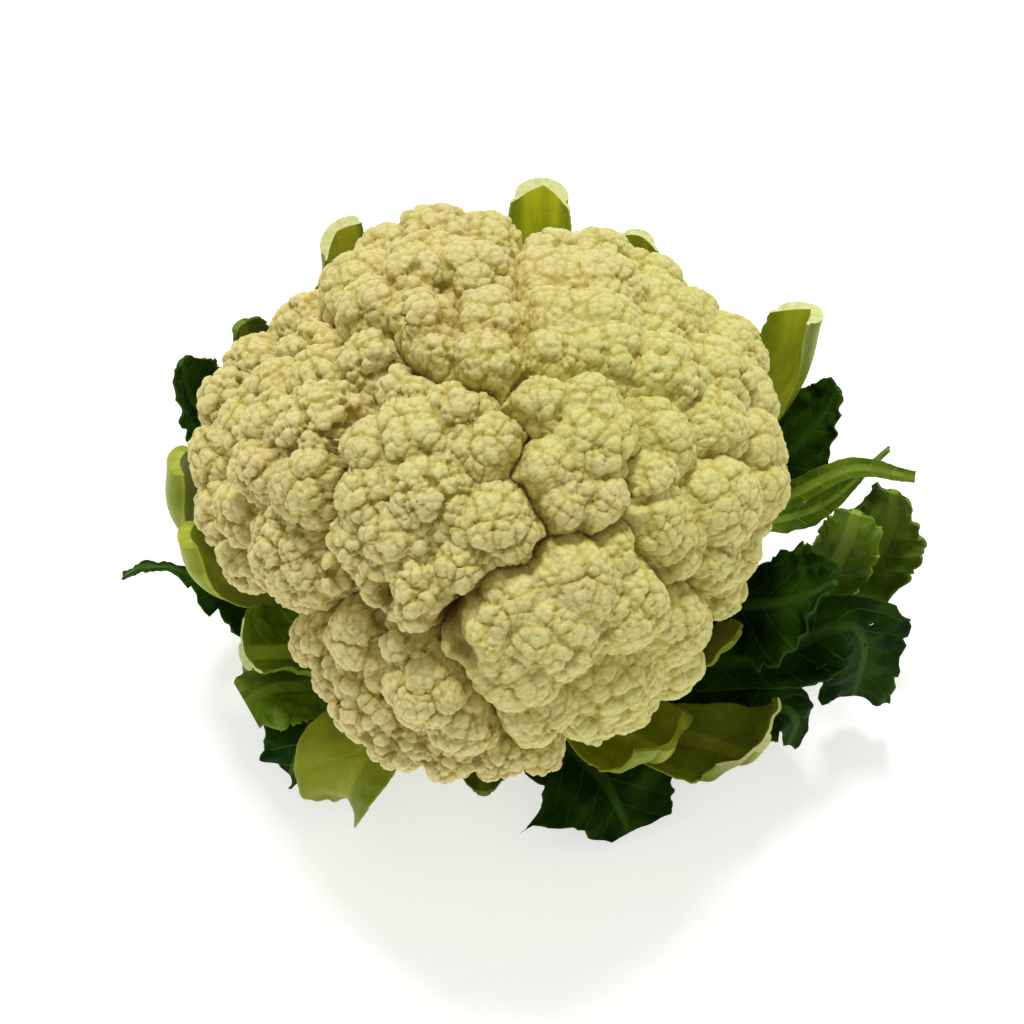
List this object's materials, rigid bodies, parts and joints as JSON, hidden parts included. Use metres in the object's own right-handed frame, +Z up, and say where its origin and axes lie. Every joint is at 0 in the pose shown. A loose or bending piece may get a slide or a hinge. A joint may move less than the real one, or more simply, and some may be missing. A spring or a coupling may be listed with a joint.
{
  "type": "cauliflower",
  "caption": "Head of cauliflower with a domed curd of pressed florets, ringed by trimmed petioles and torn leaves on a cut stem.",
  "frame": {"origin": "middle of the stem's flat cut face, on which the head stands", "axes": "+Z up along the stem through the crown, -Y towards the lower front of the head, +X to its right seen from there"},
  "size_m": [0.2303, 0.1827, 0.1525],
  "materials": {
    "curd": "matte, cream with a green tint, granular",
    "stem": "waxy pale green, cut face pale and moist",
    "leaf_pale": "waxy yellow-green petiole with pale cut faces",
    "leaf_green": "waxy mid green blade with pale veins",
    "leaf_dark": "waxy dark green blade with pale veins"
  },
  "bodies": {
    "root": {"curd": "curd", "stem": "stem", "leaf_back_stub": "leaf_pale", "leaf_back_right_low": "leaf_pale", "leaf_back_left_stub": "leaf_pale", "leaf_left_dark": "leaf_dark", "leaf_left_pale": "leaf_pale", "leaf_left_low": "leaf_pale", "leaf_left_tendril": "leaf_dark", "leaf_front_left_curl": "leaf_green", "leaf_front_left_lobe": "leaf_green", "leaf_front_left_folded": "leaf_dark", "leaf_front_curl": "leaf_pale", "leaf_front_low": "leaf_green", "leaf_front_dark": "leaf_dark", "leaf_front_right_curl": "leaf_pale", "leaf_front_right_lobe": "leaf_pale", "leaf_right_low": "leaf_dark", "leaf_right_ragged": "leaf_dark", "leaf_right_dark": "leaf_dark", "leaf_right_rib": "leaf_green", "leaf_right_lobe": "leaf_green", "leaf_right_strip": "leaf_green", "leaf_right_spear": "leaf_green", "leaf_right_shade": "leaf_dark", "leaf_right_stub": "leaf_pale", "leaf_right_inner": "leaf_pale", "leaf_back_right_stub": "leaf_pale", "leaf_back_middle_stub": "leaf_pale", "leaf_back_left_low": "leaf_green"}
  },
  "joints": []
}
